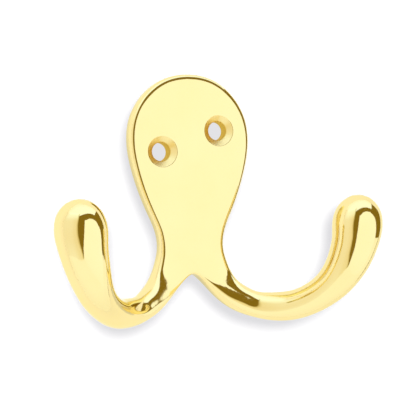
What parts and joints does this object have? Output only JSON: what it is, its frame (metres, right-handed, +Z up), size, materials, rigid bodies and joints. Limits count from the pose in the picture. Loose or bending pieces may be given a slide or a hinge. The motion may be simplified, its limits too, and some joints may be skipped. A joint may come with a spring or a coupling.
{
  "type": "double robe hook",
  "caption": "Polished brass wall hook: a pear-shaped screw plate with slanted countersunk holes, from which a pair of club-ended arms sweep out, forward and up to hang robes.",
  "frame": {"origin": "on the flat back (wall plane), midway between the two screw holes, which is the middle of the plate's round head", "axes": "+X to the viewer's right, +Z up, +Y into the wall; the front of the hook looks along -Y"},
  "size_m": [0.0748, 0.0278, 0.0559],
  "materials": {
    "lacquered_brass": "mirror polished under clear lacquer"
  },
  "bodies": {
    "root": {"hook_casting": "lacquered_brass"}
  },
  "joints": []
}
